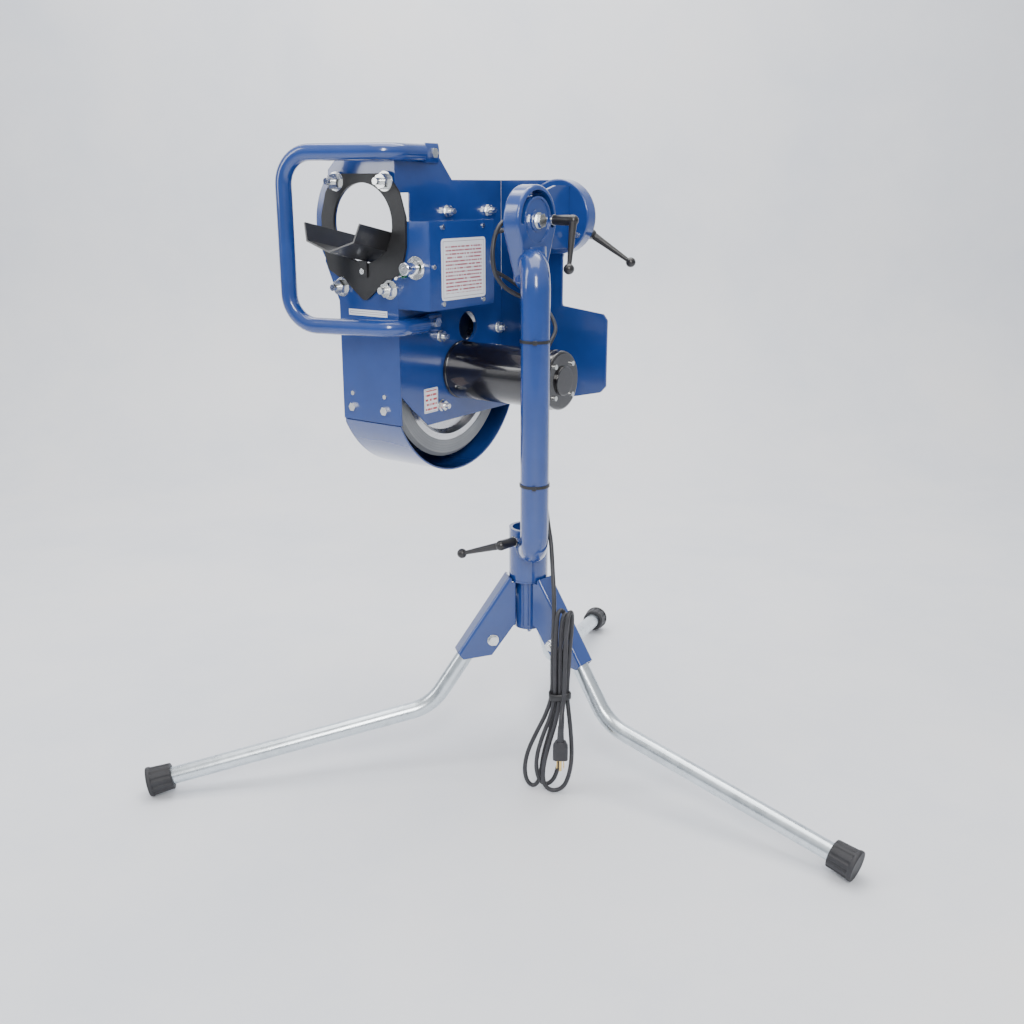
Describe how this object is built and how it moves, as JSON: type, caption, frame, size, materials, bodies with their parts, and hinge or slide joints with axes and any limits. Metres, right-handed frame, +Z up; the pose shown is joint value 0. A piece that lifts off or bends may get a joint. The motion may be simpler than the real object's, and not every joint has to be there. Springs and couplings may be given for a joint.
{
  "type": "baseball pitching machine",
  "caption": "Single-wheel baseball pitching machine on a bent-tube tripod, with yaw, pitch and roll clamps, a ball feed ring and tray, a side motor and a looped power cord.",
  "frame": {"origin": "on the floor, at the middle of the tripod's footprint box", "axes": "+Z up, +Y the way the ball is thrown, +X from the wheel towards the motor"},
  "size_m": [1.1766, 1.194, 1.145],
  "materials": {
    "blue_paint": "gloss",
    "galvanised": "bright zinc",
    "zinc_fastener": "bright zinc",
    "chrome": "polished",
    "tip_rubber": "satin",
    "motor_black": "gloss",
    "tray_black": "satin",
    "ring_black": "satin",
    "urethane_grey": "matte",
    "rim_aluminium": "machined",
    "shaft_steel": "ground",
    "armature_iron": "laminated",
    "lever_black": "satin",
    "label_white": "printed film",
    "cord_black": "satin",
    "plug_black": "satin",
    "brass": "polished",
    "pad_rubber": "matte",
    "board_green": "gloss",
    "nylon_black": "satin"
  },
  "bodies": {
    "base": {"hub_post": "blue_paint", "hub_plug": "blue_paint", "leg_sockets": "blue_paint", "leg_left": "galvanised", "leg_right": "galvanised", "leg_rear": "galvanised", "leg_tips": "tip_rubber", "leg_bolts": "zinc_fastener", "cord_hank": "cord_black", "cord_tail": "cord_black", "plug_body": "plug_black", "plug_prongs": "brass"},
    "mast": {"swivel_sleeve": "blue_paint", "yoke_tube": "blue_paint", "pitch_knuckle": "blue_paint", "cable_ties": "nylon_black", "yaw_stud": "zinc_fastener", "lead_mast": "cord_black", "cord_drop": "cord_black"},
    "yaw_lever": {"yaw_lever": "lever_black"},
    "bracket": {"pitch_cheek": "blue_paint", "roll_disc": "blue_paint", "pivot_bolts": "zinc_fastener", "lock_studs": "zinc_fastener", "lead_clip": "nylon_black", "lead_pivot": "cord_black"},
    "pitch_lever": {"pitch_lever": "lever_black"},
    "roll_lever": {"roll_lever": "lever_black"},
    "head": {"side_plate_right": "blue_paint", "side_plate_left": "blue_paint", "guard_band": "blue_paint", "feed_plate": "blue_paint", "seam_bolts": "zinc_fastener", "mount_flange": "blue_paint", "feed_ring": "ring_black", "feed_tray": "tray_black", "ring_bolts": "zinc_fastener", "pad_bracket": "blue_paint", "pressure_pad": "pad_rubber", "bearing_plate": "blue_paint", "plate_bolts": "zinc_fastener", "head_screws": "zinc_fastener", "shaft_bearings": "shaft_steel", "motor_body": "motor_black", "motor_end_bell": "motor_black", "handle": "blue_paint", "control_case": "blue_paint", "control_cover": "blue_paint", "notice_plates": "label_white", "knob_bezel": "chrome", "electronics": "board_green", "lead_glands": "nylon_black", "lead_head": "cord_black", "lead_motor": "cord_black"},
    "wheel": {"tyre": "urethane_grey", "wheel_rim": "rim_aluminium", "wheel_shaft": "shaft_steel", "armature": "armature_iron"},
    "speed_knob": {"speed_knob": "chrome"},
    "switch_toggle": {"switch_toggle": "chrome"}
  },
  "joints": [
    {"name": "yaw", "type": "hinge", "parent": "base", "child": "mast", "pos_m": [-0.09661, -0.03709, 0.41], "axis": [0, 0, 1], "range_deg": [-90, 90]},
    {"name": "yaw_lock", "type": "hinge", "parent": "mast", "child": "yaw_lever", "pos_m": [-0.10703, -0.09618, 0.441], "axis": [0.1736, 0.9848, 0], "range_deg": [-15, 110]},
    {"name": "pitch", "type": "hinge", "parent": "mast", "child": "bracket", "pos_m": [-0.09661, -0.03709, 1.015], "axis": [1, 0, 0], "range_deg": [-1, 80]},
    {"name": "pitch_lock", "type": "hinge", "parent": "bracket", "child": "pitch_lever", "pos_m": [-0.05661, 0.00891, 1.015], "axis": [1, 0, 0], "range_deg": [-15, 120]},
    {"name": "roll_lock", "type": "hinge", "parent": "bracket", "child": "roll_lever", "pos_m": [-0.09661, 0.16291, 0.985], "axis": [0, 1, 0], "range_deg": [-90, 20]},
    {"name": "roll", "type": "hinge", "parent": "bracket", "child": "head", "pos_m": [-0.14161, 0.14291, 1.017], "axis": [0, 1, 0], "range_deg": [-15, 45]},
    {"name": "wheel_spin", "type": "hinge", "parent": "head", "child": "wheel", "pos_m": [-0.35861, 0.00691, 0.734], "axis": [1, 0, 0], "continuous": true},
    {"name": "speed", "type": "hinge", "parent": "head", "child": "speed_knob", "pos_m": [-0.24361, -0.18709, 0.936], "axis": [0, -1, 0], "range_deg": [-300, 0]},
    {"name": "power", "type": "hinge", "parent": "head", "child": "switch_toggle", "pos_m": [-0.26961, -0.17209, 0.924], "axis": [-1, 0, 0], "range_deg": [0, 28]}
  ]
}
